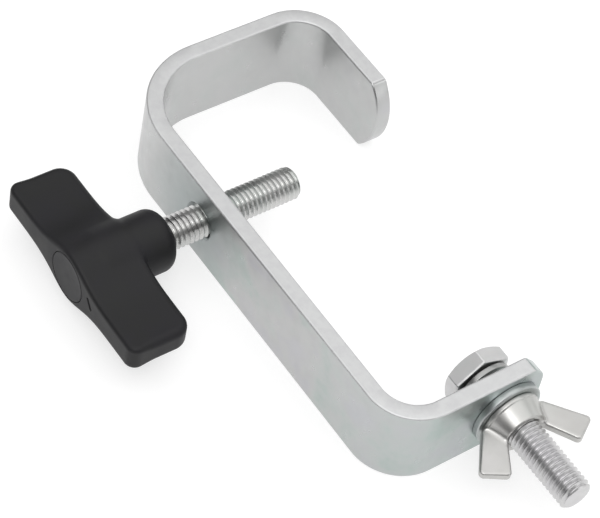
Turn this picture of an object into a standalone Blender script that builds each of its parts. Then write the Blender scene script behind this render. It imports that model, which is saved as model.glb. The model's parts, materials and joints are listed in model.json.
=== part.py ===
"""Pipe clamp for stage lighting: a bent hook bracket, a T-handled clamp screw and a wing-nutted bolt.

Metres, +Z up. The origin is the centre of the tube that the hook holds. The clamp lies on the long
edge of its bar: +X is the way the clamp screw drives, +Y runs from the foot to the hook, and +Z is
the tube's own direction.
"""
import math

import bmesh
import bpy
from mathutils import Matrix, Vector

MM = 0.001
GAP = 0.3 * MM

# The tube that the hook holds, and the flat bar that is bent around it.
TUBE_R = 25 * MM
BAR_W = 26 * MM
BAR_T = 5 * MM
ARRIS = 0.5 * MM
SPINE_X = -35 * MM
FOOT_Y = -105 * MM
FOOT_END_X = 8.7 * MM
FOOT_CORNER = 4.2 * MM
LIP_END_Y = -11.75 * MM
LIP_SWEEP = 5.45 * MM
HOOK_BEND_R = 21 * MM
LIP_BEND_R = 10 * MM
FOOT_BEND_R = 10 * MM
BEND_STEPS = 14

# M10 threads, modelled plain at the crest, and the holes that they pass.
THREAD_R = 4.85 * MM
END_CHAMFER = 0.9 * MM
SCREW_HOLE_R = 5.15 * MM
BOLT_HOLE_R = 5.4 * MM
HOLE_CHAMFER = 0.7 * MM

# Clamp screw, along +X.
SCREW_Y = -17.9 * MM
SCREW_TIP_X = -8.5 * MM
SCREW_HEAD_X = -78.9 * MM
SCREW_HEAD_LENGTH = 5.6 * MM
SCREW_HEAD_AF = 12 * MM

# T-handled knob on the screw.
KNOB_FACE_X = -82 * MM
KNOB_NECK_X = -51.25 * MM
KNOB_FLANK_X = -62.6 * MM
KNOB_HALF_SPAN = 32.6 * MM
WING_HALF_T = 4.1 * MM
RIDGE_HALF_T = 8.8 * MM
RIDGE_WIDTH = 9.8 * MM
HUB_R = 9.1 * MM
NECK_ROUND = 4 * MM
WING_INNER_R = 5 * MM
WING_OUTER_R = 3.2 * MM
CAP_R = 7.3 * MM
CAP_T = 2 * MM

# Bolt through the foot, along Y.
BOLT_X = -2.73 * MM
HEAD_FACE_Y = -99.9 * MM
HEAD_T = 5.2 * MM
HEAD_AF = 17 * MM
HEAD_TURN = math.radians(38)
BOLT_END_Y = -141.3 * MM

# Rings on the bolt.
SPRING_Y = -101.25 * MM
SPRING_T = 1.6 * MM
SPRING_R = 8.2 * MM
SPRING_LIFT = 0.4 * MM
SPRING_SPLIT = math.radians(9)
SPRING_SPLIT_AT = math.radians(250)
RING_BORE_R = 5.3 * MM
WASHER_R = 10.5 * MM
WASHER_T = 1.7 * MM

# Wing nut.
NUT_BASE_R = 8.8 * MM
NUT_TOP_R = 6.7 * MM
NUT_FLANGE_T = 1.2 * MM
NUT_T = 6.3 * MM
NUT_BORE_R = 5.15 * MM
NUT_CHAMFER = 0.6 * MM
WING_T = 2.6 * MM
WING_ROOT = (6.2 * MM, 1.0 * MM)
WING_SHOULDER = (9.4 * MM, 1.0 * MM)
WING_TIP = (18.5 * MM, 12.0 * MM)
WING_CORNER = (12.2 * MM, 15.8 * MM)
WING_NOTCH = (6.2 * MM, 5.7 * MM)

ROUND = 48
ZINC = (0.62, 0.64, 0.66)
NICKEL = (0.68, 0.68, 0.66)
BLACK = (0.028, 0.028, 0.03)


def clear_scene():
    for item in list(bpy.data.objects):
        bpy.data.objects.remove(item)


def material(name, colour, roughness, metallic):
    new = bpy.data.materials.new(name)
    new.use_nodes = True
    shader = new.node_tree.nodes["Principled BSDF"]
    shader.inputs["Base Color"].default_value = (*colour, 1)
    shader.inputs["Roughness"].default_value = roughness
    shader.inputs["Metallic"].default_value = metallic
    return new


def add_object(name, bm, skin=None, origin=(0, 0, 0)):
    """Turn bm, drawn in world coordinates, into an object whose origin is at `origin`."""
    bmesh.ops.remove_doubles(bm, verts=bm.verts, dist=1e-7)
    bmesh.ops.recalc_face_normals(bm, faces=bm.faces)
    bmesh.ops.translate(bm, verts=bm.verts, vec=-Vector(origin))
    mesh = bpy.data.meshes.new(name)
    bm.to_mesh(mesh)
    bm.free()
    mesh.shade_smooth()
    mesh.set_sharp_from_angle(angle=math.radians(30))
    item = bpy.data.objects.new(name, mesh)
    item.location = origin
    bpy.context.scene.collection.objects.link(item)
    if skin:
        mesh.materials.append(skin)
    return item


def carve(item, cutter):
    """Cut `cutter` out of `item`, and keep the cutter as a hidden guide."""
    cut = item.modifiers.new("cut " + cutter.name, "BOOLEAN")
    cut.operation = "DIFFERENCE"
    cut.solver = "EXACT"
    cut.object = cutter
    hide(cutter)


def weld(item, other):
    """Join `other` to `item` as one solid, and keep it as a hidden guide."""
    join = item.modifiers.new("join " + other.name, "BOOLEAN")
    join.operation = "UNION"
    join.solver = "EXACT"
    join.object = other
    hide(other)


def hide(guide):
    guide.hide_render = True
    guide.display_type = "WIRE"


def arc(centre, radius, start, end, steps):
    """Points of an arc in a plane, from angle `start` to `end` in degrees."""
    points = []
    for i in range(steps + 1):
        angle = math.radians(start + (end - start) * i / steps)
        points.append((centre[0] + radius * math.cos(angle), centre[1] + radius * math.sin(angle)))
    return points


def along_x(y, z=0.0):
    """Turning frame whose axis is +X through (y, z): local Z becomes world X."""
    return Matrix(((0, 0, 1, 0), (1, 0, 0, y), (0, 1, 0, z), (0, 0, 0, 1)))


def along_minus_y(x, z=0.0):
    """Turning frame whose axis is -Y through (x, z): local Z becomes world -Y."""
    return Matrix(((1, 0, 0, x), (0, 0, -1, 0), (0, 1, 0, z), (0, 0, 0, 1)))


def turned(bm, frame, outline, sides=ROUND, turn=0.0):
    """Turn an outline of (radius, height) points about the frame's axis into a closed solid."""
    rings = []
    for radius, height in outline:
        if radius == 0:
            rings.append([bm.verts.new(frame @ Vector((0, 0, height)))])
            continue
        ring = []
        for i in range(sides):
            angle = turn + math.tau * i / sides
            spot = Vector((radius * math.cos(angle), radius * math.sin(angle), height))
            ring.append(bm.verts.new(frame @ spot))
        rings.append(ring)
    closed = outline[0][0] != 0
    pairs = list(zip(rings, rings[1:]))
    if closed:
        pairs.append((rings[-1], rings[0]))
    for low, high in pairs:
        for i in range(sides):
            j = (i + 1) % sides
            corners = [low[i % len(low)], low[j % len(low)], high[j % len(high)], high[i % len(high)]]
            face = [v for k, v in enumerate(corners) if v not in corners[:k]]
            bm.faces.new(face)


def prism(bm, outline, low, high, place):
    """Extrude a flat outline from `low` to `high`; place(u, v, w) gives each world point."""
    bottom = [bm.verts.new(place(u, v, low)) for u, v in outline]
    top = [bm.verts.new(place(u, v, high)) for u, v in outline]
    bm.faces.new(bottom)
    bm.faces.new(top)
    for i in range(len(outline)):
        j = (i + 1) % len(outline)
        bm.faces.new((bottom[i], bottom[j], top[j], top[i]))


def hexagon_radius(across_flats):
    return across_flats / math.sqrt(3)


# --- bracket -------------------------------------------------------------------------------------

def bar_stations():
    """Points of the bar's inner line with the direction from there to its outer line."""
    stations = [((FOOT_END_X, FOOT_Y), (0, -1))]
    foot_centre = (SPINE_X + FOOT_BEND_R, FOOT_Y + FOOT_BEND_R)
    hook_centre = (SPINE_X + HOOK_BEND_R, TUBE_R - HOOK_BEND_R)
    lip_centre = (TUBE_R - LIP_BEND_R, TUBE_R - LIP_BEND_R)
    bends = ((foot_centre, FOOT_BEND_R, 270, 180), (hook_centre, HOOK_BEND_R, 180, 90),
             (lip_centre, LIP_BEND_R, 90, 0))
    for centre, radius, start, end in bends:
        for x, y in arc(centre, radius, start, end, BEND_STEPS):
            stations.append(((x, y), ((x - centre[0]) / radius, (y - centre[1]) / radius)))
    stations.append(((TUBE_R, LIP_END_Y), (1, 0)))
    return stations


def bar_section():
    """Bar section as (depth below the inner face, z), with its long arrises broken."""
    half = BAR_W / 2
    return ((0, -half + ARRIS), (0, half - ARRIS), (ARRIS, half), (BAR_T - ARRIS, half),
            (BAR_T, half - ARRIS), (BAR_T, -half + ARRIS), (BAR_T - ARRIS, -half), (ARRIS, -half))


def lip_end_cutter():
    """Everything below the shallow arc that ends the lip."""
    half = BAR_W / 2
    radius = (half * half + LIP_SWEEP * LIP_SWEEP) / (2 * LIP_SWEEP)
    reach = math.degrees(math.asin(half / radius))
    centre = (LIP_END_Y + radius, 0)
    outline = arc(centre, radius, 180 - reach, 180 + reach, 16)
    below = LIP_END_Y - 4 * MM
    shoulder = LIP_END_Y + LIP_SWEEP
    outline += [(shoulder, -half - MM), (below, -half - MM), (below, half + MM), (shoulder, half + MM)]
    bm = bmesh.new()
    prism(bm, outline, TUBE_R - MM, TUBE_R + BAR_T + MM, lambda y, z, x: Vector((x, y, z)))
    return add_object("lip_end_cutter", bm)


def foot_corner_cutter(name, side):
    """Wedge that takes one corner off the foot's end."""
    half = BAR_W / 2
    beyond = 3 * MM
    outline = ((FOOT_END_X - FOOT_CORNER - beyond, side * (half + beyond)),
               (FOOT_END_X + beyond, side * (half - FOOT_CORNER - beyond)),
               (FOOT_END_X + beyond, side * (half + beyond)))
    bm = bmesh.new()
    prism(bm, outline, FOOT_Y - BAR_T - MM, FOOT_Y + MM, lambda x, z, y: Vector((x, y, z)))
    return add_object(name, bm)


def hole_cutter(name, frame, near, far, radius):
    """Drill from `near` to `far` along the frame's axis, with a chamfer at both mouths."""
    over = HOLE_CHAMFER
    outline = ((0, near - over), (radius + 2 * over, near - over), (radius, near + over),
               (radius, far - over), (radius + 2 * over, far + over), (0, far + over))
    bm = bmesh.new()
    turned(bm, frame, outline)
    return add_object(name, bm)


def build_bracket():
    bm = bmesh.new()
    rings = []
    for (x, y), (out_x, out_y) in bar_stations():
        rings.append([bm.verts.new((x + d * out_x, y + d * out_y, z)) for d, z in bar_section()])
    for low, high in zip(rings, rings[1:]):
        for i in range(len(low)):
            j = (i + 1) % len(low)
            bm.faces.new((low[i], low[j], high[j], high[i]))
    bm.faces.new(rings[0])
    bm.faces.new(rings[-1])
    bracket = add_object("bracket", bm, material("bracket_zinc", ZINC, 0.36, 1.0))
    carve(bracket, lip_end_cutter())
    for name, side in (("foot_corner_cutter_a", 1), ("foot_corner_cutter_b", -1)):
        carve(bracket, foot_corner_cutter(name, side))
    frame = along_x(SCREW_Y)
    carve(bracket, hole_cutter("screw_hole_cutter", frame, SPINE_X - BAR_T, SPINE_X, SCREW_HOLE_R))
    frame = along_minus_y(BOLT_X)
    carve(bracket, hole_cutter("bolt_hole_cutter", frame, -FOOT_Y, -FOOT_Y + BAR_T, BOLT_HOLE_R))


# --- clamp screw and knob ------------------------------------------------------------------------

def build_clamp_screw():
    """Full-length stud, with the small hexagon head that the knob grips."""
    frame = along_x(SCREW_Y)
    bm = bmesh.new()
    shank = SCREW_HEAD_X + SCREW_HEAD_LENGTH / 2
    turned(bm, frame, ((0, shank), (THREAD_R, shank), (THREAD_R, SCREW_TIP_X - END_CHAMFER),
                       (THREAD_R - END_CHAMFER, SCREW_TIP_X), (0, SCREW_TIP_X)))
    origin = (SCREW_TIP_X, SCREW_Y, 0)
    screw = add_object("clamp_screw", bm, material("screw_zinc", ZINC, 0.3, 1.0), origin)
    bm = bmesh.new()
    corner = hexagon_radius(SCREW_HEAD_AF)
    head_end = SCREW_HEAD_X + SCREW_HEAD_LENGTH
    turned(bm, frame, ((0, SCREW_HEAD_X), (corner, SCREW_HEAD_X), (corner, head_end), (0, head_end)), 6)
    weld(screw, add_object("screw_head_guide", bm))


def wing_outline():
    """Outline of the T-handle's cross bar in (x, y about the screw), one end and its mirror."""
    inner = (KNOB_FLANK_X - WING_INNER_R, KNOB_HALF_SPAN - WING_INNER_R)
    outer = (KNOB_FACE_X + WING_OUTER_R, KNOB_HALF_SPAN - WING_OUTER_R)
    side = arc(inner, WING_INNER_R, 0, 90, 6)
    side += arc(outer, WING_OUTER_R, 90, 180, 5)
    return side + [(x, -y) for x, y in reversed(side)]


def wing_half_thickness(y):
    """Half thickness of the T-handle, a smooth ridge that is highest over the screw."""
    return WING_HALF_T + (RIDGE_HALF_T - WING_HALF_T) * math.exp(-(y / RIDGE_WIDTH) ** 2)


def ridge_cutter(name, side):
    """What lies outside the ridged broad face on one side of the T-handle."""
    steps = 28
    reach = KNOB_HALF_SPAN + 2 * MM
    outline = []
    for i in range(steps + 1):
        y = -reach + 2 * reach * i / steps
        outline.append((y, side * wing_half_thickness(y)))
    outline += [(reach, side * 2 * HUB_R), (-reach, side * 2 * HUB_R)]
    bm = bmesh.new()
    prism(bm, outline, KNOB_FACE_X - MM, KNOB_NECK_X, lambda y, z, x: Vector((x, SCREW_Y + y, z)))
    return add_object(name, bm)


def build_knob():
    """T-handle, its round hub, and the stepped bore for the screw, its head and the cap."""
    bm = bmesh.new()
    prism(bm, wing_outline(), -HUB_R, HUB_R, lambda x, y, z: Vector((x, SCREW_Y + y, z)))
    origin = (KNOB_FACE_X, SCREW_Y, 0)
    knob = add_object("knob", bm, material("knob_plastic", BLACK, 0.42, 0.0), origin)
    for name, side in (("ridge_cutter_a", 1), ("ridge_cutter_b", -1)):
        carve(knob, ridge_cutter(name, side))
    frame = along_x(SCREW_Y)
    bm = bmesh.new()
    start = KNOB_FACE_X + 10 * MM
    shoulder = (KNOB_NECK_X - NECK_ROUND, HUB_R - NECK_ROUND)
    outline = [(0, start), (HUB_R - MM, start), (HUB_R, KNOB_FLANK_X)]
    outline += [(radius, x) for x, radius in arc(shoulder, NECK_ROUND, 90, 0, 6)]
    outline += [(0, KNOB_NECK_X)]
    turned(bm, frame, outline)
    weld(knob, add_object("hub_guide", bm))
    bm = bmesh.new()
    cap_bed = KNOB_FACE_X + CAP_T + GAP
    mouth = KNOB_FACE_X - MM
    far = KNOB_NECK_X + MM
    turned(bm, frame, ((0, mouth), (CAP_R + GAP, mouth), (CAP_R + GAP, cap_bed),
                       (THREAD_R + GAP, cap_bed), (THREAD_R + GAP, far), (0, far)))
    carve(knob, add_object("knob_bore_cutter", bm))
    bm = bmesh.new()
    pocket = hexagon_radius(SCREW_HEAD_AF + 2 * GAP)
    pocket_end = SCREW_HEAD_X + SCREW_HEAD_LENGTH + GAP
    turned(bm, frame, ((0, cap_bed - MM), (pocket, cap_bed - MM), (pocket, pocket_end), (0, pocket_end)), 6)
    carve(knob, add_object("knob_pocket_cutter", bm))


def build_knob_cap():
    bm = bmesh.new()
    edge = 0.4 * MM
    outline = ((0, KNOB_FACE_X), (CAP_R - edge, KNOB_FACE_X), (CAP_R, KNOB_FACE_X + edge),
               (CAP_R, KNOB_FACE_X + CAP_T), (0, KNOB_FACE_X + CAP_T))
    turned(bm, along_x(SCREW_Y), outline)
    origin = (KNOB_FACE_X, SCREW_Y, 0)
    add_object("knob_cap", bm, material("cap_plastic", BLACK, 0.38, 0.0), origin)


# --- bolt, rings and wing nut --------------------------------------------------------------------

def build_bolt():
    """Hexagon bolt; its head's outer corners are rounded off by a cone."""
    frame = along_minus_y(BOLT_X)
    face = -HEAD_FACE_Y
    end = -BOLT_END_Y
    bm = bmesh.new()
    turned(bm, frame, ((0, face - 2 * MM), (THREAD_R, face - 2 * MM), (THREAD_R, end - END_CHAMFER),
                       (THREAD_R - END_CHAMFER, end), (0, end)))
    origin = (BOLT_X, BOLT_END_Y, 0)
    bolt = add_object("bolt", bm, material("bolt_zinc", ZINC, 0.3, 1.0), origin)
    corner = hexagon_radius(HEAD_AF)
    bm = bmesh.new()
    top = face - HEAD_T
    turned(bm, frame, ((0, top), (corner, top), (corner, face), (0, face)), 6, HEAD_TURN)
    head = add_object("bolt_head_guide", bm)
    bm = bmesh.new()
    beyond = 3 * MM
    slope = 0.5
    flat_r = HEAD_AF / 2
    turned(bm, frame, ((flat_r, top), (flat_r + beyond, top + beyond * slope),
                       (flat_r + beyond, top - MM), (flat_r - MM, top - MM), (flat_r - MM, top)))
    cone = add_object("bolt_head_cone_cutter", bm)
    carve(head, cone)
    weld(bolt, head)


def build_spring_washer():
    """Split ring: a square section swept almost once around the bolt, rising a little."""
    steps = 44
    frame = along_minus_y(BOLT_X)
    section = ((RING_BORE_R, 0), (SPRING_R, 0), (SPRING_R, SPRING_T), (RING_BORE_R, SPRING_T))
    bm = bmesh.new()
    rings = []
    for i in range(steps + 1):
        part = i / steps
        angle = SPRING_SPLIT_AT + SPRING_SPLIT / 2 + (math.tau - SPRING_SPLIT) * part
        low = -SPRING_Y + SPRING_LIFT * (part - 0.5)
        ring = []
        for radius, rise in section:
            height = low - SPRING_T / 2 + rise
            spot = Vector((radius * math.cos(angle), radius * math.sin(angle), height))
            ring.append(bm.verts.new(frame @ spot))
        rings.append(ring)
    for low, high in zip(rings, rings[1:]):
        for i in range(len(low)):
            j = (i + 1) % len(low)
            bm.faces.new((low[i], low[j], high[j], high[i]))
    bm.faces.new(rings[0])
    bm.faces.new(rings[-1])
    origin = (BOLT_X, SPRING_Y, 0)
    add_object("spring_washer", bm, material("spring_zinc", ZINC, 0.33, 1.0), origin)


def build_flat_washer():
    top = -FOOT_Y + BAR_T + GAP
    edge = 0.3 * MM
    bm = bmesh.new()
    turned(bm, along_minus_y(BOLT_X), ((RING_BORE_R, top), (WASHER_R - edge, top), (WASHER_R, top + edge),
                                       (WASHER_R, top + WASHER_T - edge), (WASHER_R - edge, top + WASHER_T),
                                       (RING_BORE_R, top + WASHER_T)))
    origin = (BOLT_X, -top, 0)
    add_object("flat_washer", bm, material("washer_zinc", ZINC, 0.33, 1.0), origin)


def wing_blade(name, side, base):
    """One splayed wing as a flat blade; its outline is (distance from the bolt, height)."""
    outline = [WING_ROOT, WING_SHOULDER, WING_TIP, WING_CORNER, WING_NOTCH]
    bm = bmesh.new()
    prism(bm, outline, -WING_T / 2, WING_T / 2, lambda r, h, z: Vector((BOLT_X + side * r, -(base + h), z)))
    return add_object(name, bm)


def build_wing_nut():
    frame = along_minus_y(BOLT_X)
    base = -FOOT_Y + BAR_T + GAP + WASHER_T + GAP
    top = base + NUT_T
    outline = ((NUT_BORE_R, base + NUT_CHAMFER), (NUT_BORE_R + NUT_CHAMFER, base), (NUT_BASE_R, base),
               (NUT_BASE_R, base + NUT_FLANGE_T), (NUT_TOP_R, top), (NUT_BORE_R + NUT_CHAMFER, top),
               (NUT_BORE_R, top - NUT_CHAMFER))
    bm = bmesh.new()
    turned(bm, frame, outline)
    origin = (BOLT_X, -base, 0)
    nut = add_object("wing_nut", bm, material("nut_nickel", NICKEL, 0.4, 1.0), origin)
    for name, side in (("wing_guide_a", 1), ("wing_guide_b", -1)):
        weld(nut, wing_blade(name, side, base))


def main():
    clear_scene()
    build_bracket()
    build_clamp_screw()
    build_knob()
    build_knob_cap()
    build_bolt()
    build_spring_washer()
    build_flat_washer()
    build_wing_nut()


main()
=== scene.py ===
"""Pipe clamp: detailed meshes, materials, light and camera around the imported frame.

Metres, in the frame's own axes: +X is the way the clamp screw drives, +Y runs from the foot to the
hook, +Z is up and across the bar.
"""
import json
import math

import bmesh
import bpy
import numpy as np
from mathutils import Matrix, Vector


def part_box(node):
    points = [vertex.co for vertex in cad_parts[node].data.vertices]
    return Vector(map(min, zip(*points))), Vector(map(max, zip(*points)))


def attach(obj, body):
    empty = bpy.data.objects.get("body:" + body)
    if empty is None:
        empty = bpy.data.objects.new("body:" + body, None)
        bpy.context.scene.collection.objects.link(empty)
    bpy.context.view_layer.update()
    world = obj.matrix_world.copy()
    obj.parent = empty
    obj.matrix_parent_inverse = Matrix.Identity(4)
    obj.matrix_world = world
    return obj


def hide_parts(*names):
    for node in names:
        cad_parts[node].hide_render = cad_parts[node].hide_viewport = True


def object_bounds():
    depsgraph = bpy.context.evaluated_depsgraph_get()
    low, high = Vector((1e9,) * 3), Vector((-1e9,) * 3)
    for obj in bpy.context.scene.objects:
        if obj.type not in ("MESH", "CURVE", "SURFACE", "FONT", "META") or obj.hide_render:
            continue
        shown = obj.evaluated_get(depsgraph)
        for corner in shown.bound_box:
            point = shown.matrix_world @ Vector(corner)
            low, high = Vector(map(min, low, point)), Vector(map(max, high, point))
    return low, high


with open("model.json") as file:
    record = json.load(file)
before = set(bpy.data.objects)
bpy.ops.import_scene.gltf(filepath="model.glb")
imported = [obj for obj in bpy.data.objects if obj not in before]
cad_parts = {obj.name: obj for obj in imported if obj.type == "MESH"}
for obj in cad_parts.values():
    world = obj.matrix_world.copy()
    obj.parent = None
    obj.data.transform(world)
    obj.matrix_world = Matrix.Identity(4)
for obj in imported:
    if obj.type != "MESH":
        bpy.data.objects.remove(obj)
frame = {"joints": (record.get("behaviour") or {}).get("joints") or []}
cad_low, cad_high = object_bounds()

MM = 0.001

# --- driving dimensions, read from the frame where it states them --------------------------------

bar_low, bar_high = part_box("bracket")
BAR_T = 5 * MM
HALF_W = (bar_high.z - bar_low.z) / 2
SPINE_X = bar_low.x + BAR_T
LIP_X = bar_high.x - BAR_T
HOOK_Y = bar_high.y - BAR_T
FOOT_Y = bar_low.y + BAR_T
HOOK_BEND_R = 21 * MM
LIP_BEND_R = 10 * MM
FOOT_BEND_R = 10 * MM
FOOT_END_X = 8.7 * MM
FOOT_CORNER = 4.2 * MM
LIP_END_Y = -11.75 * MM
LIP_SWEEP = 5.45 * MM
ARRIS = 0.6 * MM
BOLT_HOLE_R = 5.5 * MM
HOLE_EASE = 0.35 * MM

joints = {joint["name"]: joint for joint in frame["joints"]}
SCREW_Y = joints["screw_turn"]["pos_m"][1]
BOLT_X = joints["bolt_turn"]["pos_m"][0]

# M10 thread, its play in a tapped hole, and the washers' clearance and inner radius.
PITCH = 1.5 * MM
CREST_R = 4.88 * MM
ROOT_R = 4.02 * MM
THREAD_END_R = 4.1 * MM
THREAD_SIDES = 72
THREAD_PLAY = 0.14 * MM
CLEARANCE = 0.05 * MM
RING_R = 5.3 * MM

# Radii at the mouths of the tapped holes: the far ends, the spine's outer face, the nut's base.
MOUTH_R = 5.5 * MM
SPINE_MOUTH_R = 5.9 * MM
NUT_MOUTH_R = 5.6 * MM

# How far a cutter stands past the face that it cuts.
OVERSHOOT = 2 * MM

# Edges sharper than this are creased, and faces larger than this are flats.
SHARP_ANGLE = math.radians(32)
FLAT_AREA = 3 * MM ** 2


# --- mesh tools ----------------------------------------------------------------------------------

def make_object(name, mesh):
    """Put a mesh in the scene as an object at the origin."""
    item = bpy.data.objects.new(name, mesh)
    bpy.context.scene.collection.objects.link(item)
    return item


def from_bmesh(name, bm):
    """Mesh datablock of a closed bmesh, with its normals turned outwards."""
    bmesh.ops.remove_doubles(bm, verts=bm.verts, dist=1e-7)
    bmesh.ops.recalc_face_normals(bm, faces=bm.faces)
    mesh = bpy.data.meshes.new(name)
    bm.to_mesh(mesh)
    bm.free()
    return mesh


def loft(bm, rings):
    """Skin a run of rings of points with quads, and return its two end rings of vertices."""
    skins = [[bm.verts.new(spot) for spot in ring] for ring in rings]
    for low, high in zip(skins, skins[1:]):
        for i in range(len(low)):
            j = (i + 1) % len(low)
            bm.faces.new((low[i], low[j], high[j], high[i]))
    return skins[0], skins[-1]


def combine(base, other, operation):
    """Apply an exact Boolean of `other` to `base`, and remove `other`."""
    step = base.modifiers.new(operation, "BOOLEAN")
    step.operation = operation
    step.solver = "EXACT"
    step.object = other
    graph = bpy.context.evaluated_depsgraph_get()
    result = bpy.data.meshes.new_from_object(base.evaluated_get(graph))
    base.modifiers.clear()
    base.data = result
    bpy.data.objects.remove(other)
    return base


def finish_piece(item, skin, body, node):
    """Shade a finished piece, give it its material, hang it on the body that it rides on, and hide
    the part that it stands for.

    Large flats are shaded flat, so that the small bevels beside them don't tilt their shading.
    """
    item.data.materials.clear()
    item.data.materials.append(skin)
    item.data.shade_smooth()
    item.data.set_sharp_from_angle(angle=SHARP_ANGLE)
    for face in item.data.polygons:
        face.use_smooth = face.area < FLAT_AREA
    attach(item, body)
    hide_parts(node)


def along_x(y, z=0.0):
    """Turning frame whose axis is +X through (y, z): local Z becomes world X."""
    return Matrix(((0, 0, 1, 0), (1, 0, 0, y), (0, 1, 0, z), (0, 0, 0, 1)))


def along_minus_y(x, z=0.0):
    """Turning frame whose axis is -Y through (x, z): local Z becomes world -Y."""
    return Matrix(((1, 0, 0, x), (0, 0, -1, 0), (0, 1, 0, z), (0, 0, 0, 1)))


SCREW_FRAME = along_x(SCREW_Y)
BOLT_FRAME = along_minus_y(BOLT_X)


def turned(name, place, outline, sides=128, turn=0.0):
    """Solid turned from a closed outline of (radius, height) points about the frame's axis."""
    bm = bmesh.new()
    rings = []
    for radius, height in outline:
        if radius == 0:
            rings.append([bm.verts.new(place @ Vector((0, 0, height)))])
            continue
        ring = []
        for i in range(sides):
            angle = turn + math.tau * i / sides
            spot = Vector((radius * math.cos(angle), radius * math.sin(angle), height))
            ring.append(bm.verts.new(place @ spot))
        rings.append(ring)
    pairs = list(zip(rings, rings[1:]))
    if outline[0][0] != 0:
        pairs.append((rings[-1], rings[0]))
    for low, high in pairs:
        for i in range(sides):
            j = (i + 1) % sides
            around = ((low, i), (low, j), (high, j), (high, i))
            corners = [ring[k % len(ring)] for ring, k in around]
            bm.faces.new([v for k, v in enumerate(corners) if v not in corners[:k]])
    return make_object(name, from_bmesh(name, bm))


def fillet(centre, radius, start, end, steps=5):
    """Points of an arc from angle `start` to `end` in degrees, about a (radius, height) centre."""
    points = []
    for i in range(steps + 1):
        angle = math.radians(start + (end - start) * i / steps)
        points.append((centre[0] + radius * math.cos(angle), centre[1] + radius * math.sin(angle)))
    return points


# Half of one thread ridge, as (share of the pitch, share of the depth), from crest to root.
THREAD_FLANK = ((0.0, 0.0), (0.045, 0.012), (0.082, 0.09), (0.40, 0.92), (0.45, 0.985), (0.5, 1.0))


def helix_bar(name, place, start, end, crest, root):
    """Right-hand threaded bar from `start` to `end` along the frame's axis, with rough ends.

    The thread's phase depends only on the place along the axis, so a bar and the cutter for its
    hole, made with the same frame, always fit each other.
    """
    flank = list(THREAD_FLANK)
    ridge = flank + [(1 - share, depth) for share, depth in reversed(flank[1:-1])]
    first = math.floor(start / PITCH) - 1
    last = math.ceil(end / PITCH) + 1
    rows = [((turn + share) * PITCH, crest - (crest - root) * depth)
            for turn in range(first, last) for share, depth in ridge]
    per_turn = len(ridge)
    bm = bmesh.new()
    columns = []
    for i in range(THREAD_SIDES):
        angle = math.tau * i / THREAD_SIDES
        lift = PITCH * i / THREAD_SIDES
        spots = [Vector((r * math.cos(angle), r * math.sin(angle), h + lift)) for h, r in rows]
        columns.append([bm.verts.new(place @ spot) for spot in spots])
    for i in range(THREAD_SIDES):
        here = columns[i]
        wraps = i == THREAD_SIDES - 1
        beside = columns[0][per_turn:] if wraps else columns[i + 1]
        for j in range(min(len(here), len(beside)) - 1):
            bm.faces.new((here[j], beside[j], beside[j + 1], here[j + 1]))
    low_edge = [column[0] for column in columns] + columns[0][per_turn:0:-1]
    high_edge = [column[-1] for column in columns[1:]]
    high_edge = [columns[0][-1]] + high_edge + columns[-1][-2:-per_turn - 2:-1]
    for edge, height in ((low_edge, rows[0][0]), (high_edge, rows[-1][0] + PITCH)):
        middle = bm.verts.new(place @ Vector((0, 0, height)))
        for i, vert in enumerate(edge):
            bm.faces.new((middle, vert, edge[(i + 1) % len(edge)]))
    return make_object(name, from_bmesh(name, bm))


def threaded_bar(name, place, start, end, start_chamfer, end_chamfer):
    """Threaded bar with its ends faced off, and chamfered where asked."""
    bar = helix_bar(name, place, start, end, CREST_R, ROOT_R)
    wide = CREST_R + 0.3 * MM
    slope = wide - THREAD_END_R
    outline = [(0, start)]
    outline += [(THREAD_END_R, start), (wide, start + slope)] if start_chamfer else [(wide, start)]
    outline += [(wide, end - slope), (THREAD_END_R, end)] if end_chamfer else [(wide, end)]
    outline += [(0, end)]
    return combine(bar, turned("blank", place, outline, THREAD_SIDES), "INTERSECT")


def thread_cutter(place, start, end):
    """What a tap takes out: the thread of the bar that fits the hole, with a little play."""
    return helix_bar("tap", place, start, end, CREST_R + THREAD_PLAY, ROOT_R + THREAD_PLAY)


def countersink(place, face, inward, mouth_r):
    """Cone that opens a hole at `face`; `inward` is +1 where the metal lies on along the axis."""
    out = face - inward * MM
    deep = face + inward * (mouth_r - ROOT_R)
    return turned("countersink", place, ((0, out), (mouth_r + MM, out), (ROOT_R, deep), (0, deep)))


def length2(a, b):
    """Length of the vector (a, b)."""
    return np.sqrt(a * a + b * b)


def smoothstep(low, high, value):
    """Ease from 0 at `low` to 1 at `high`."""
    t = np.clip((value - low) / (high - low), 0, 1)
    return t * t * (3 - 2 * t)


def round_union(a, b, radius):
    """Union of two distance fields with a round fillet where they meet."""
    near = length2(np.maximum(radius - a, 0), np.maximum(radius - b, 0))
    return np.maximum(radius, np.minimum(a, b)) - near


def round_meet(a, b, radius):
    """Intersection of two distance fields with its outer edge rounded."""
    out = length2(np.maximum(a + radius, 0), np.maximum(b + radius, 0))
    return out - radius + np.minimum(np.maximum(a, b) + radius, 0)


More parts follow.
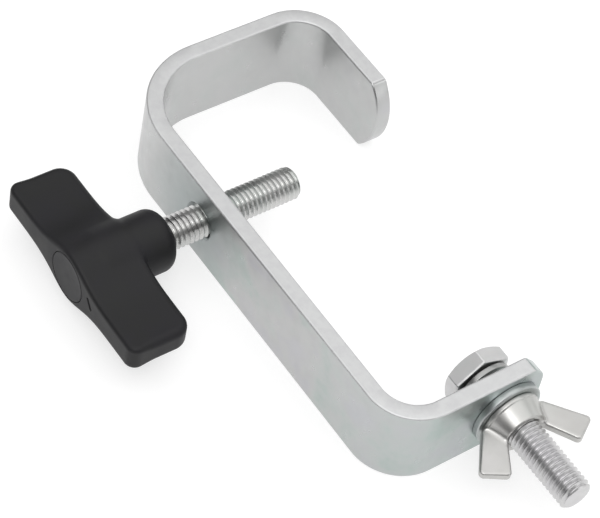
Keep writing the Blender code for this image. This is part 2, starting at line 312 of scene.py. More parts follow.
def net_mesh(name, field, low, high, cell):
    """Closed quad mesh of the surface where `field` is zero; the field is negative inside.

    A surface net: each grid cell that the surface crosses gets one point, each grid edge that it
    crosses gets one quad, and the points are then moved onto the surface along its gradient.
    """
    axes = [np.arange(low[i] - 2.5 * cell, high[i] + 2.5 * cell, cell) for i in range(3)]
    grid = np.stack(np.meshgrid(*axes, indexing="ij"), axis=-1)
    value = field(grid)
    total = np.zeros(grid.shape)
    count = np.zeros(value.shape, int)
    loops = []
    for axis in range(3):
        step = np.eye(3, dtype=int)
        v0 = np.take(value, range(value.shape[axis] - 1), axis)
        v1 = np.take(value, range(1, value.shape[axis]), axis)
        crossed = np.argwhere((v0 < 0) != (v1 < 0))
        v0 = v0[tuple(crossed.T)]
        v1 = v1[tuple(crossed.T)]
        point = grid[tuple(crossed.T)] + (v0 / (v0 - v1))[:, None] * step[axis] * cell
        side, top = step[(axis + 1) % 3], step[(axis + 2) % 3]
        around = [crossed, crossed - side, crossed - side - top, crossed - top]
        for cells in around:
            np.add.at(total, tuple(cells.T), point)
            np.add.at(count, tuple(cells.T), 1)
        loop = np.stack(around, axis=1)
        loop[v0 > 0] = loop[v0 > 0][:, ::-1]
        loops.append(loop)
    used = np.argwhere(count > 0)
    number = np.full(count.shape, -1)
    number[tuple(used.T)] = np.arange(len(used))
    points = total[tuple(used.T)] / count[tuple(used.T)][:, None]
    quads = np.concatenate(loops)
    quads = number[quads[..., 0], quads[..., 1], quads[..., 2]]
    reach = cell / 10
    for _ in range(4):
        ahead = [field(points + reach * e) - field(points - reach * e) for e in np.eye(3)]
        slope = np.stack(ahead, axis=-1) / (2 * reach)
        size = np.maximum((slope * slope).sum(-1), 0.05)
        shift = np.clip(field(points) / size, -cell / 2, cell / 2)
        points -= shift[:, None] * slope
    mesh = bpy.data.meshes.new(name)
    mesh.from_pydata(points.tolist(), [], quads.tolist())
    return mesh


# --- materials -----------------------------------------------------------------------------------

class Skin:
    """A node material under construction."""

    def __init__(self, name, **sockets):
        self.material = bpy.data.materials.new(name)
        self.material.use_nodes = True
        self.tree = self.material.node_tree
        self.shader = self.tree.nodes["Principled BSDF"]
        for socket, value in sockets.items():
            self.shader.inputs[socket.replace("_", " ")].default_value = value
        self.place = self.tree.nodes.new("ShaderNodeTexCoord").outputs["Object"]

    def link(self, out, into):
        self.tree.links.new(out, into)

    def feed(self, socket, value):
        """Link another node's output to a socket, or set a constant directly on it."""
        if hasattr(value, "links"):
            self.link(value, socket)
        elif socket.type == "RGBA":
            socket.default_value = (*value, 1)
        else:
            socket.default_value = value

    def noise(self, scale, detail, rough):
        """Noise over the object, `scale` per metre."""
        node = self.tree.nodes.new("ShaderNodeTexNoise")
        node.inputs["Scale"].default_value = scale
        node.inputs["Detail"].default_value = detail
        node.inputs["Roughness"].default_value = rough
        self.link(self.place, node.inputs["Vector"])
        return node.outputs["Fac"]

    def ramp(self, value, stops):
        """Colour ramp of (position, colour) stops."""
        node = self.tree.nodes.new("ShaderNodeValToRGB")
        ramp = node.color_ramp
        while len(ramp.elements) < len(stops):
            ramp.elements.new(0.5)
        for element, (position, colour) in zip(ramp.elements, stops):
            element.position = position
            element.color = (*colour, 1)
        self.link(value, node.inputs["Fac"])
        return node.outputs["Color"]

    def span(self, value, low, high, start=0.3, end=0.7):
        """Map a value from `start`..`end` to `low`..`high`."""
        node = self.tree.nodes.new("ShaderNodeMapRange")
        names = ("Value", "From Min", "From Max", "To Min", "To Max")
        for socket, setting in zip(names, (value, start, end, low, high)):
            self.feed(node.inputs[socket], setting)
        return node.outputs["Result"]

    def mix(self, share, first, second):
        """Mix two colours, with `share` of the second."""
        node = self.tree.nodes.new("ShaderNodeMix")
        node.data_type = "RGBA"
        sockets = {socket.identifier: socket for socket in node.inputs}
        self.feed(sockets["Factor_Float"], share)
        self.feed(sockets["A_Color"], first)
        self.feed(sockets["B_Color"], second)
        return next(out for out in node.outputs if out.identifier == "Result_Color")

    def across(self):
        """Distance from the object's middle plane, z = 0."""
        split = self.tree.nodes.new("ShaderNodeSeparateXYZ")
        self.link(self.place, split.inputs["Vector"])
        size = self.tree.nodes.new("ShaderNodeMath")
        size.operation = "ABSOLUTE"
        self.link(split.outputs["Z"], size.inputs[0])
        return size.outputs["Value"]

    def away_from(self, spot):
        """Distance from a point of the object."""
        node = self.tree.nodes.new("ShaderNodeVectorMath")
        node.operation = "DISTANCE"
        self.link(self.place, node.inputs[0])
        node.inputs[1].default_value = spot
        return node.outputs["Value"]

    def bump(self, layers):
        """Stack of bumps, each (height, strength, distance)."""
        normal = None
        for height, strength, distance in layers:
            node = self.tree.nodes.new("ShaderNodeBump")
            node.inputs["Strength"].default_value = strength
            node.inputs["Distance"].default_value = distance
            self.link(height, node.inputs["Height"])
            if normal:
                self.link(normal, node.inputs["Normal"])
            normal = node.outputs["Normal"]
        self.link(normal, self.shader.inputs["Normal"])


# Clouds per metre in the plating, how far from the bolt each tint fades away, and how far from the
# screw the painted shade fades away.
CLOUD_SCALE = 85
TEAL_RANGE = (12 * MM, 55 * MM)
PATCHY_RANGE = (92 * MM, 118 * MM)
KNOB_SHADE_RANGE = (7 * MM, 23 * MM)
# How far the middle of the painted shade stands from the screw, towards the hook.
KNOB_SHADE_SHIFT = 2 * MM
SHEARED_ROUGH = 0.5


def shade(metal, red, green, blue):
    """A metal's colour with its channels scaled."""
    return (metal[0] * red, metal[1] * green, metal[2] * blue)


def handled(skin, rough):
    """Roughness a little either side of `rough`, as handling leaves it."""
    return skin.span(skin.noise(260, 3, 0.55), rough - 0.05, rough + 0.07)


def plated(skin, tint, rough):
    """Finish a metal skin with its tint, its roughness and the faint waves of plated steel."""
    skin.link(tint, skin.shader.inputs["Base Color"])
    skin.link(rough, skin.shader.inputs["Roughness"])
    skin.bump(((skin.noise(110, 2, 0.5), 0.3, 0.2 * MM),))
    return skin.material


def zinc(name, metal, rough, cloud):
    """Bright zinc plate: pale metal with faint green and lilac clouds, `cloud` of full strength."""
    skin = Skin(name, Metallic=1.0)
    green = shade(metal, 0.85, 0.935, 0.91)
    lilac = shade(metal, 0.965, 0.945, 1.0)
    clouds = skin.noise(CLOUD_SCALE, 4, 0.55)
    tint = skin.ramp(clouds, ((0.36, green), (0.5, metal), (0.64, lilac)))
    return plated(skin, skin.mix(cloud, metal, tint), handled(skin, rough))


def bar_zinc(name, metal, rough):
    """The bar's zinc plate: plain round the hook, clouded along the spine, greener by the bolt.

    Painted shade darkens it round the tapped hole, beside the knob; its sheared edges are duller,
    and painted light makes them paler.
    """
    skin = Skin(name, Metallic=1.0)
    clouds = skin.noise(CLOUD_SCALE, 4, 0.55)
    plain = shade(metal, 0.972, 0.97, 0.97)
    patchy = skin.ramp(clouds, ((0.35, shade(metal, 0.86, 0.94, 0.91)),
                                (0.46, shade(metal, 0.955, 0.975, 0.967)),
                                (0.54, shade(metal, 0.975, 0.968, 0.968)),
                                (0.66, shade(metal, 0.96, 0.95, 0.985))))
    teal = skin.ramp(clouds, ((0.36, shade(metal, 0.80, 0.93, 0.89)),
                              (0.50, shade(metal, 0.90, 0.975, 0.96)),
                              (0.64, shade(metal, 0.92, 0.955, 0.98))))
    # Painted shade: the plate is darkened round the tapped hole, where the knob shades it.
    painted_knob_shade = shade(metal, 0.73, 0.78, 0.78)
    # Painted light: the narrow edges are painted paler than the faces, as a top edge lit from above
    # looks; their greater roughness is their own.
    painted_light_edge = shade(metal, 1.20, 1.19, 1.205)
    painted_light_edge_bright = shade(metal, 1.27, 1.265, 1.27)
    from_bolt = skin.away_from((BOLT_X, FOOT_Y - BAR_T, 0))
    from_screw = skin.away_from((SPINE_X - BAR_T, SCREW_Y + KNOB_SHADE_SHIFT, 0))
    tint = skin.mix(skin.span(from_bolt, 1.0, 0.2, *PATCHY_RANGE), plain, patchy)
    tint = skin.mix(skin.span(from_bolt, 1.0, 0.0, *TEAL_RANGE), tint, teal)
    # Paint the shade in round the screw, fading out with distance from it.
    tint = skin.mix(skin.span(from_screw, 1.0, 0.0, *KNOB_SHADE_RANGE), tint, painted_knob_shade)
    edge = skin.span(skin.across(), 0.0, 1.0, HALF_W - ARRIS, HALF_W - 0.4 * ARRIS)
    # Mottle the painted light over the narrow edges.
    tint = skin.mix(edge, tint, skin.ramp(skin.noise(420, 3, 0.6), ((0.35, painted_light_edge), (0.6, painted_light_edge_bright))))
    return plated(skin, tint, skin.span(edge, handled(skin, rough), SHEARED_ROUGH, 0.0, 1.0))


def moulded_plastic(name, roughness, grain_strength):
    """Black moulded plastic with a fine spark-eroded grain."""
    skin = Skin(name, Metallic=0.0)
    skin.shader.inputs["Specular IOR Level"].default_value = 0.3
    patch = skin.noise(120, 3, 0.55)
    tint = skin.ramp(patch, ((0.35, (0.0095, 0.0095, 0.010)), (0.65, (0.012, 0.0115, 0.014))))
    skin.link(tint, skin.shader.inputs["Base Color"])
    skin.link(skin.span(patch, roughness - 0.05, roughness + 0.06), skin.shader.inputs["Roughness"])
    grain = skin.noise(3200, 2, 0.6)
    swell = skin.noise(160, 2, 0.5)
    skin.bump(((grain, grain_strength, 0.04 * MM), (swell, 0.08, 0.1 * MM)))
    return skin.material


# --- bracket -------------------------------------------------------------------------------------

def bar_stations():
    """Along the bar's inner line: ((x, y), direction from there to the outer line)."""
    bends = (((SPINE_X + FOOT_BEND_R, FOOT_Y + FOOT_BEND_R), FOOT_BEND_R, 270, 180, 36),
             ((SPINE_X + HOOK_BEND_R, HOOK_Y - HOOK_BEND_R), HOOK_BEND_R, 180, 90, 48),
             ((LIP_X - LIP_BEND_R, HOOK_Y - LIP_BEND_R), LIP_BEND_R, 90, 0, 36))
    stations = []
    for centre, radius, start, end, steps in bends:
        for x, y in fillet(centre, radius, start, end, steps):
            stations.append(((x, y), ((x - centre[0]) / radius, (y - centre[1]) / radius)))
    return stations


# Faces across the bar's width, and round each of its eased edges.
BAR_COLUMNS = 40
EDGE_STEPS = 5


def arris_arc(depth, z, start, first):
    """One eased edge of the section: `EDGE_STEPS` points from step `first` of its quarter turn."""
    points = []
    for k in range(first, first + EDGE_STEPS):
        angle = math.radians(start - 90 * k / EDGE_STEPS)
        out, up = math.cos(angle), math.sin(angle)
        points.append((depth + ARRIS * out, z + ARRIS * up, out, up))
    return points


def bar_section():
    """Ring of (depth, z, depth normal, z normal) round the bar's section, inner face first."""
    flat = HALF_W - ARRIS
    heights = [-flat + 2 * flat * i / BAR_COLUMNS for i in range(BAR_COLUMNS + 1)]
    ring = [(0.0, z, -1.0, 0.0) for z in heights]
    ring += arris_arc(ARRIS, flat, 180, 1) + arris_arc(BAR_T - ARRIS, flat, 90, 0)
    ring += [(BAR_T, -z, 1.0, 0.0) for z in heights]
    ring += arris_arc(BAR_T - ARRIS, -flat, 0, 1) + arris_arc(ARRIS, -flat, -90, 0)
    return ring


def lip_end(z):
    """How far short of the lip's lowest point the lip ends at this z, a shallow arc."""
    radius = (HALF_W ** 2 + LIP_SWEEP ** 2) / (2 * LIP_SWEEP)
    return radius - math.sqrt(radius ** 2 - min(abs(z), HALF_W) ** 2)


def foot_end(z):
    """How far short of its tip the foot ends at this z: both corners are cut off and eased."""
    past = abs(z) - (HALF_W - FOOT_CORNER)
    ease = 0.9 * MM
    return (past + math.sqrt(past * past + ease * ease)) / 2


def end_rings(section, tip, out, ahead, shortfall):
    """Rings that round the bar over to its end, from the straight bar to the end face."""
    ease = 0.9 * ARRIS
    tip, out, ahead = (Vector((*pair, 0)) for pair in (tip, out, ahead))
    rings = []
    for k in range(EDGE_STEPS + 1):
        angle = math.radians(90 * k / EDGE_STEPS)
        inset = ease * (1 - math.cos(angle))
        back = ease * (1 - math.sin(angle))
        ring = []
        for depth, z, depth_n, z_n in section:
            travel = -shortfall(z) - back
            spot = tip + out * (depth - inset * depth_n) + ahead * travel
            ring.append(spot + Vector((0, 0, z - inset * z_n)))
        rings.append(ring)
    return rings


def cap_end(bm, ring):
    """Close the bar's end: strips between the inner and outer faces, and a piece at each edge."""
    size = len(ring)
    outer = BAR_COLUMNS + 1 + 2 * EDGE_STEPS
    far = outer + BAR_COLUMNS
    for i in range(BAR_COLUMNS):
        bm.faces.new((ring[i], ring[i + 1], ring[far - i - 1], ring[far - i]))
    bm.faces.new(ring[BAR_COLUMNS:outer + 1])
    bm.faces.new([ring[k % size] for k in range(far, size + 1)])


def build_bracket(skin):
    """The bent bar, swept along its stations, with its tapped hole and its clearance hole."""
    section = bar_section()
    foot_rings = end_rings(section, (FOOT_END_X, FOOT_Y), (0, -1), (1, 0), foot_end)
    lip_rings = end_rings(section, (LIP_X, LIP_END_Y), (1, 0), (0, -1), lip_end)
    rings = list(reversed(foot_rings))
    for (x, y), (out_x, out_y) in bar_stations():
        rings.append([Vector((x + d * out_x, y + d * out_y, z)) for d, z, _, _ in section])
    rings += lip_rings
    bm = bmesh.new()
    foot, lip = loft(bm, rings)
    cap_end(bm, foot)
    cap_end(bm, lip)
    bracket = make_object("bracket_bar", from_bmesh("bracket_bar", bm))
    outside, inside = SPINE_X - BAR_T, SPINE_X
    tap = thread_cutter(SCREW_FRAME, outside - OVERSHOOT, inside + OVERSHOOT)
    combine(bracket, tap, "DIFFERENCE")
    combine(bracket, countersink(SCREW_FRAME, outside, 1, SPINE_MOUTH_R), "DIFFERENCE")
    combine(bracket, countersink(SCREW_FRAME, inside, -1, MOUTH_R), "DIFFERENCE")
    near, far = -FOOT_Y, -FOOT_Y + BAR_T
    mouth_r = BOLT_HOLE_R + HOLE_EASE + OVERSHOOT
    outline = ((0, near - OVERSHOOT), (mouth_r, near - OVERSHOOT),
               (BOLT_HOLE_R, near + HOLE_EASE), (BOLT_HOLE_R, far - HOLE_EASE),
               (mouth_r, far + OVERSHOOT), (0, far + OVERSHOOT))
    combine(bracket, turned("drill", BOLT_FRAME, outline), "DIFFERENCE")
    finish_piece(bracket, skin, "bracket", "bracket")


# --- clamp screw and knob ------------------------------------------------------------------------

screw_low, screw_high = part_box("clamp_screw")
knob_low, knob_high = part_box("knob")
cap_low, cap_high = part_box("knob_cap")
KNOB_LENGTH = knob_high.x - knob_low.x
KNOB_HALF_SPAN = (knob_high.y - knob_low.y) / 2
CAP_R = (cap_high.y - cap_low.y) / 2
KNOB_DEPTH = 19.4 * MM
WING_HALF_T = 4.1 * MM
RIDGE_HALF_T = 8.8 * MM
RIDGE_WIDTH = 9.8 * MM
HUB_R = 9.1 * MM
HUB_START = 6 * MM
HUB_ROUND = 4 * MM
HUB_BLEND = 1.2 * MM
FACE_CORNER = 3.2 * MM
BACK_CORNER = 5 * MM
FACE_EDGE = 1.3 * MM
EDGE_GROWTH = 0.9 * MM
WING_SINK = 0.08 * MM
HEX_AF = 12 * MM
HEX_T = 5.6 * MM
THREAD_TUCK = 6 * MM
KNOB_CELL = 0.4 * MM

# The plug's bed, the screw's bore and the pocket for the screw's head, inside the knob.
BED_GAP = 0.3 * MM
PLUG_GAP = 0.1 * MM
BORE_GAP = 0.12 * MM
POCKET_GAP = 0.4 * MM
PLUG_EDGE = 0.3 * MM
PLUG_DISH = 0.22 * MM

# Short moulding mark on the knob's face, beside the plug: start and run in (y, z) from the hub.
MARK_START = (-10.0 * MM, 2.6 * MM)
MARK_RUN = (-2.4 * MM, -3.4 * MM)
MARK_HALF_W = 0.55 * MM


def build_clamp_screw(skin):
    """Stud with a plain shank and a small hexagon head that the knob hides."""
    thread_start = knob_high.x - THREAD_TUCK
    screw = threaded_bar("clamp_stud", SCREW_FRAME, thread_start, screw_high.x, False, True)
    corner = HEX_AF / math.sqrt(3)
    head_end = screw_low.x + HEX_T
    low, high = head_end - MM, thread_start + MM
    outline = ((0, low), (ROOT_R, low), (ROOT_R, high), (0, high))
    shank = turned("shank", SCREW_FRAME, outline, THREAD_SIDES)
    outline = ((0, screw_low.x), (corner, screw_low.x), (corner, head_end), (0, head_end))
    head = turned("head", SCREW_FRAME, outline, 6)
    combine(screw, shank, "UNION")
    combine(screw, head, "UNION")
    finish_piece(screw, skin, "screw", "clamp_screw")


def knob_field(p):
    """Distance to the T-handle: a cross bar with a ridge over the screw, and its round hub."""
    x = p[..., 0] - knob_low.x
    y = np.abs(p[..., 1] - SCREW_Y)
    z = p[..., 2]
    depth = KNOB_DEPTH
    corner = np.where(x > depth / 2, BACK_CORNER, FACE_CORNER)
    over_x = np.abs(x - depth / 2) - depth / 2 + corner
    over_y = y - KNOB_HALF_SPAN + corner
    bar = np.minimum(np.maximum(over_x, over_y), 0) - corner
    bar += length2(np.maximum(over_x, 0), np.maximum(over_y, 0))
    bell = np.exp(-(y / RIDGE_WIDTH) ** 2)
    half = WING_HALF_T + (RIDGE_HALF_T - WING_HALF_T) * bell
    half = half - WING_SINK * smoothstep(1.2 * MM, 6 * MM, -bar) * (1 - bell)
    slope = (RIDGE_HALF_T - WING_HALF_T) * bell * 2 * y / RIDGE_WIDTH ** 2
    over_z = (np.abs(z) - half) / np.sqrt(1 + slope * slope)
    edge = FACE_EDGE + EDGE_GROWTH * smoothstep(2 * MM, 8 * MM, x)
    wings = round_meet(bar, over_z, edge)
    middle = (HUB_START + KNOB_LENGTH) / 2
    hub = round_meet(length2(y, z) - HUB_R, np.abs(x - middle) - (KNOB_LENGTH - middle), HUB_ROUND)
    return round_union(wings, hub, HUB_BLEND)


def build_knob(skin):
    """The T-handle, with its bore, its hexagon pocket, its recess for the plug and its mark."""
    mesh = net_mesh("knob_body", knob_field, knob_low, knob_high, KNOB_CELL)
    knob = make_object("knob_body", mesh)
    face, back = knob_low.x, knob_high.x
    bed = cap_high.x + BED_GAP
    rim = CAP_R + PLUG_GAP
    bore = CREST_R + BORE_GAP
    ease = 0.15 * MM
    flare = 0.4 * MM
    outline = ((0, face - MM), (rim + ease + MM, face - MM), (rim, face + ease), (rim, bed),
               (bore, bed), (bore, back - flare), (bore + flare + MM, back + MM), (0, back + MM))
    combine(knob, turned("knob_bore", SCREW_FRAME, outline), "DIFFERENCE")
    pocket = (HEX_AF + POCKET_GAP) / math.sqrt(3)
    pocket_end = screw_low.x + HEX_T + BED_GAP
    outline = ((0, bed - MM), (pocket, bed - MM), (pocket, pocket_end), (0, pocket_end))
    combine(knob, turned("pocket", SCREW_FRAME, outline, 6), "DIFFERENCE")
    start = Vector((face, SCREW_Y + MARK_START[0], MARK_START[1]))
    run = Vector((0, *MARK_RUN))
    lie = Matrix.Translation(start) @ run.to_track_quat("Z", "X").to_matrix().to_4x4()
    outline = fillet((0, run.length - MARK_HALF_W), MARK_HALF_W, 90, 0)
    outline += fillet((0, MARK_HALF_W), MARK_HALF_W, 0, -90)
    combine(knob, turned("moulding_mark", lie, outline[::-1], 16), "DIFFERENCE")
    finish_piece(knob, skin, "screw", "knob")


def build_knob_cap(skin):
    """Plug with an eased rim and a very shallow dish."""
    face = cap_low.x
    outline = [(CAP_R * share, face + PLUG_DISH * (1 - share ** 2))
               for share in (0, 0.2, 0.4, 0.6, 0.8, 0.9)]
    outline += fillet((CAP_R - PLUG_EDGE, face + PLUG_EDGE), PLUG_EDGE, 270, 360)
    outline += [(CAP_R, cap_high.x), (0, cap_high.x)]
    cap = turned("knob_plug", SCREW_FRAME, outline)
    finish_piece(cap, skin, "screw_travel", "knob_cap")


# --- bolt, rings and wing nut --------------------------------------------------------------------

bolt_low, bolt_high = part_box("bolt")
spring_low, spring_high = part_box("spring_washer")
flat_low, flat_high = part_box("flat_washer")
nut_low, nut_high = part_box("wing_nut")
HEAD_AF = 17 * MM
HEAD_T = 5.2 * MM
HEAD_TURN = math.radians(38)
HEAD_FLAT_R = 7.9 * MM
HEAD_TAPER = 0.6 * MM
HEAD_CONE = 0.5
SPRING_T = 1.6 * MM
SPRING_LIFT = 0.4 * MM
SPRING_EDGE = 0.22 * MM
SPRING_SPLIT = math.radians(9)
SPRING_TURN = math.radians(250)
SPRING_STEPS = 88


def build_bolt(skin):
    """Hexagon bolt: chamfered head, bearing face, and a thread up to the head."""
    top = -bolt_high.y
    seat = top + HEAD_T
    bolt = threaded_bar("hex_bolt", BOLT_FRAME, seat - MM, -bolt_low.y, False, True)
    corner = HEAD_AF / math.sqrt(3)
    outline = ((0, top), (corner, top), (corner, seat - HEAD_TAPER),
               (corner - HEAD_TAPER / 2, seat), (0, seat))
    head = turned("head", BOLT_FRAME, outline, 6, HEAD_TURN)
    bevel = head.modifiers.new("ease", "BEVEL")
    bevel.width = 0.18 * MM
    bevel.segments = 3
    wide = corner + MM
    ease = 0.35 * MM
    outline = ((0, top), (HEAD_FLAT_R, top), (wide, top + (wide - HEAD_FLAT_R) * HEAD_CONE),
               (wide, seat - ease), (corner - ease, seat), (0, seat))
    combine(head, turned("blank", BOLT_FRAME, outline), "INTERSECT")
    combine(bolt, head, "UNION")
    finish_piece(bolt, skin, "bolt", "bolt")


def build_spring_washer(skin):
    """Split spring ring, its ends a little out of line."""
    middle = -(spring_low.y + spring_high.y) / 2
    outer = (spring_high.x - spring_low.x) / 2 - SPRING_EDGE
    inner = RING_R + SPRING_EDGE
    side = SPRING_T / 2 - SPRING_EDGE
    section = []
    for centre, start in (((outer, side), 0), ((inner, side), 90),
                          ((inner, -side), 180), ((outer, -side), 270)):
        section += fillet(centre, SPRING_EDGE, start, start + 90, 3)
    rings = []
    for i in range(SPRING_STEPS + 1):
        part = i / SPRING_STEPS
        angle = SPRING_TURN + SPRING_SPLIT / 2 + (math.tau - SPRING_SPLIT) * part
        out, across = math.cos(angle), math.sin(angle)
        height = middle + SPRING_LIFT * (part - 0.5)
        rings.append([BOLT_FRAME @ Vector((r * out, r * across, height + h)) for r, h in section])
    bm = bmesh.new()
    for end in loft(bm, rings):
        bm.faces.new(end)
    ring = make_object("split_ring", from_bmesh("split_ring", bm))
    finish_piece(ring, skin, "bolt_slack", "spring_washer")


def build_flat_washer(skin):
    """Punched washer: rolled-over edge on one side, sharper on the other."""
    near, far = -bar_low.y + CLEARANCE, -flat_low.y
    outer = (flat_high.x - flat_low.x) / 2
    soft = 0.5 * MM
    crisp = 0.15 * MM
    outline = [(RING_R, near + crisp), (RING_R + crisp, near)]
    outline += fillet((outer - crisp, near + crisp), crisp, 270, 360, 3)
    outline += fillet((outer - soft, far - soft), soft, 0, 90)
    outline += [(RING_R + soft, far), (RING_R, far - soft)]
    washer = turned("plain_washer", BOLT_FRAME, outline)
    finish_piece(washer, skin, "nut_travel", "flat_washer")


NUT_BASE = -flat_low.y + CLEARANCE
NUT_TOP = -nut_high.y + 6.3 * MM
NUT_CELL = 0.26 * MM
NUT_TOP_R = 6.75 * MM
NUT_FLARE = 1.75 * MM
NUT_EDGE = 0.35 * MM
COLLAR_T = 1.5 * MM
COLLAR_STEP = 0.3 * MM

# A blade's corners as (out from the axis, up from the base) in mm, and the share of the way to
# their middle that they are drawn in by, to leave room for the rounding.
WING_OUTLINE = ((6.2, 1.2), (9.4, 1.2), (18.3, 12.0), (12.4, 15.6), (6.2, 5.6))
WING_DRAW_IN = 0.14
WING_CORNER = 1.3 * MM
BLADE_HALF_T = 1.35 * MM
BLADE_THINNING = 0.15 * MM
BLADE_EDGE = 0.7 * MM
BLADE_BLEND = 1.3 * MM


def polygon_field(u, v, outline):
    """Signed distance to a flat polygon whose points run anticlockwise."""
    best = np.full(u.shape, np.inf)
    inside = np.ones(u.shape, bool)
    for (au, av), (bu, bv) in zip(outline, outline[1:] + outline[:1]):
        eu, ev = bu - au, bv - av
        share = np.clip(((u - au) * eu + (v - av) * ev) / (eu * eu + ev * ev), 0, 1)
        best = np.minimum(best, length2(u - au - share * eu, v - av - share * ev))
        inside &= (eu * (v - av) - ev * (u - au)) > 0
    return np.where(inside, -best, best)


def nut_field(p):
    """Distance to the wing nut: a tapered hub on a short collar, with two blades blended in."""
    r = np.abs(p[..., 0] - BOLT_X)
    h = -p[..., 1] - NUT_BASE
    z = p[..., 2]
    top = NUT_TOP - NUT_BASE
    taper = np.clip((top - h) / (top - COLLAR_T), 0, 1) ** 1.3
    collar = COLLAR_STEP * smoothstep(-COLLAR_T, COLLAR_STEP - COLLAR_T, -h)
    hub_r = NUT_TOP_R + NUT_FLARE * taper + collar
    hub = round_meet((length2(r, z) - hub_r) * 0.95, np.abs(h - top / 2) - top / 2, NUT_EDGE)
    corners = [(a * MM, b * MM) for a, b in WING_OUTLINE]
    mid_a, mid_b = (sum(axis) / len(corners) for axis in zip(*corners))
    outline = [(a + (mid_a - a) * WING_DRAW_IN, b + (mid_b - b) * WING_DRAW_IN) for a, b in corners]
    blade = polygon_field(r, h, outline) - WING_CORNER
    half = BLADE_HALF_T - BLADE_THINNING * smoothstep(10 * MM, 18 * MM, r)
    blade = round_meet(blade, np.abs(z) - half, BLADE_EDGE)
    return round_union(hub, blade, BLADE_BLEND)


def build_wing_nut(skin):
    """The cast nut, tapped through and countersunk at both ends."""
    high = Vector((nut_high.x, -NUT_BASE, nut_high.z))
    mesh = net_mesh("cast_wing_nut", nut_field, nut_low, high, NUT_CELL)
    nut = make_object("cast_wing_nut", mesh)
    tap = thread_cutter(BOLT_FRAME, NUT_BASE - OVERSHOOT, NUT_TOP + OVERSHOOT)
    combine(nut, tap, "DIFFERENCE")
    combine(nut, countersink(BOLT_FRAME, NUT_BASE, 1, NUT_MOUTH_R), "DIFFERENCE")
    combine(nut, countersink(BOLT_FRAME, NUT_TOP, -1, MOUTH_R), "DIFFERENCE")
    finish_piece(nut, skin, "wing_nut", "wing_nut")


# --- floor, light and camera ---------------------------------------------------------------------

FLOOR_SIZE = 3
FLOOR_GAP = 0.1 * MM
FLOOR_GREY = (0.42, 0.42, 0.42, 1)
FLOOR_GLOW = 0.66
WHITE = (1, 1, 1, 1)

# The sky rises from dim to bright between these heights, as shares of the whole sphere.
SKY_HEIGHTS = (0.54, 0.76)
SKY_STRENGTHS = (0.2, 1.4)

# Lamps as (name, place, size, power), all aimed at the middle of the clamp.
LAMP_AIM = (-0.02, -0.04, 0)
LAMPS = (("key", (-0.47, -0.40, 0.82), (0.32, 0.32), 1.3),
         ("side", (0.95, -0.02, 0.34), (1.6, 0.5), 2.6),
         ("front", (0.46, -0.84, 0.29), (0.44, 0.5), 0.9))


def build_floor():
    """White paper under the clamp: it glows, so that only faint shadows are left on it."""
    bm = bmesh.new()
    bmesh.ops.create_grid(bm, x_segments=1, y_segments=1, size=FLOOR_SIZE)
    mesh = bpy.data.meshes.new("floor")
    bm.to_mesh(mesh)
    bm.free()
    floor = make_object("floor", mesh)
    floor.location = (0, 0, cad_low.z - FLOOR_GAP)
    skin = Skin("floor_paper", Roughness=0.9)
    skin.shader.inputs["Base Color"].default_value = FLOOR_GREY
    skin.shader.inputs["Emission Color"].default_value = WHITE
    skin.shader.inputs["Emission Strength"].default_value = FLOOR_GLOW
    mesh.materials.append(skin.material)


def area_light(name, place, size, power):
    """Rectangular lamp at `place` that faces the clamp."""
    data = bpy.data.lights.new(name, "AREA")
    data.shape = "RECTANGLE"
    data.size, data.size_y = size
    data.energy = power
    lamp = bpy.data.objects.new(name, data)
    lamp.location = place
    lamp.rotation_euler = (Vector(LAMP_AIM) - Vector(place)).to_track_quat("-Z", "Y").to_euler()
    bpy.context.scene.collection.objects.link(lamp)


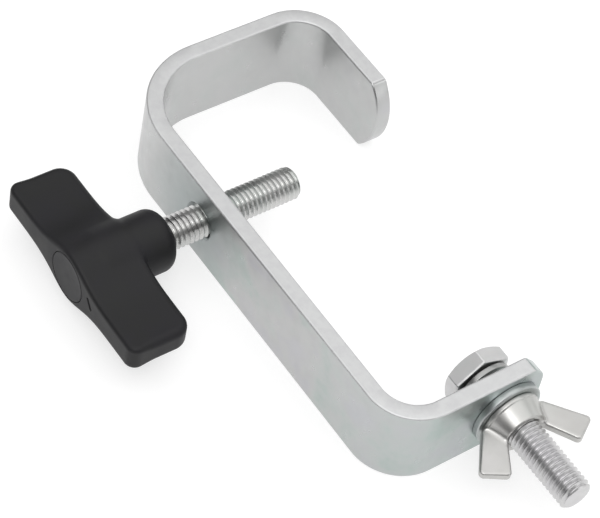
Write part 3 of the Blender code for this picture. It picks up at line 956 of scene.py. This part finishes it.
def build_light():
    """A sky that is bright overhead, and three soft lamps."""
    world = bpy.data.worlds.new("studio")
    world.use_nodes = True
    tree = world.node_tree
    place = tree.nodes.new("ShaderNodeTexCoord")
    split = tree.nodes.new("ShaderNodeSeparateXYZ")
    sky = tree.nodes.new("ShaderNodeMapRange")
    sky.interpolation_type = "SMOOTHSTEP"
    settings = zip(("From Min", "From Max", "To Min", "To Max"), SKY_HEIGHTS + SKY_STRENGTHS)
    for socket, value in settings:
        sky.inputs[socket].default_value = value
    tree.links.new(place.outputs["Generated"], split.inputs["Vector"])
    tree.links.new(split.outputs["Z"], sky.inputs["Value"])
    tree.links.new(sky.outputs["Result"], tree.nodes["Background"].inputs["Strength"])
    tree.nodes["Background"].inputs["Color"].default_value = WHITE
    bpy.context.scene.world = world
    for name, spot, size, power in LAMPS:
        area_light(name, spot, size, power)
    bpy.context.scene.view_settings.view_transform = "Standard"


def build_camera():
    """Long lens that looks down at the clamp from the foot's side, with a little roll."""
    azimuth = math.radians(-44.588)
    elevation = math.radians(49.933)
    roll = math.radians(13.153)
    distance = 655.7 * MM
    aim = Vector((-22.35 * MM, -42.07 * MM, 0))
    level = math.cos(elevation)
    back = Vector((math.sin(azimuth) * level, -math.cos(azimuth) * level, math.sin(elevation)))
    right = Vector((math.cos(azimuth), math.sin(azimuth), 0))
    up = back.cross(right)
    turned_right = right * math.cos(roll) + up * math.sin(roll)
    turned_up = up * math.cos(roll) - right * math.sin(roll)
    data = bpy.data.cameras.new("camera")
    data.lens = 143.9
    data.clip_start = 0.05
    camera = bpy.data.objects.new("camera", data)
    turn = Matrix((turned_right, turned_up, back)).transposed().to_4x4()
    camera.matrix_world = Matrix.Translation(aim + back * distance) @ turn
    bpy.context.scene.collection.objects.link(camera)
    bpy.context.scene.camera = camera


def main():
    """Build every piece with its material, and set the stage."""
    build_bracket(bar_zinc("plate_zinc_skin", (0.51, 0.515, 0.513), 0.32))
    build_clamp_screw(zinc("screw_zinc_skin", (0.62, 0.62, 0.61), 0.28, 0.3))
    build_knob(moulded_plastic("knob_plastic_skin", 0.50, 0.14))
    build_knob_cap(moulded_plastic("cap_plastic_skin", 0.46, 0.08))
    build_bolt(zinc("bolt_zinc_skin", (0.575, 0.573, 0.572), 0.33, 0.3))
    # The spring ring's dark base colour is painted shade, for the dark that it reflects between the
    # bolt head and the foot.
    build_spring_washer(zinc("spring_zinc_painted_shade_skin", (0.36, 0.36, 0.355), 0.32, 0.3))
    build_flat_washer(zinc("washer_zinc_skin", (0.43, 0.45, 0.445), 0.32, 0.4))
    build_wing_nut(zinc("nut_nickel_skin", (0.52, 0.515, 0.50), 0.35, 0.2))
    build_floor()
    build_light()
    build_camera()


main()
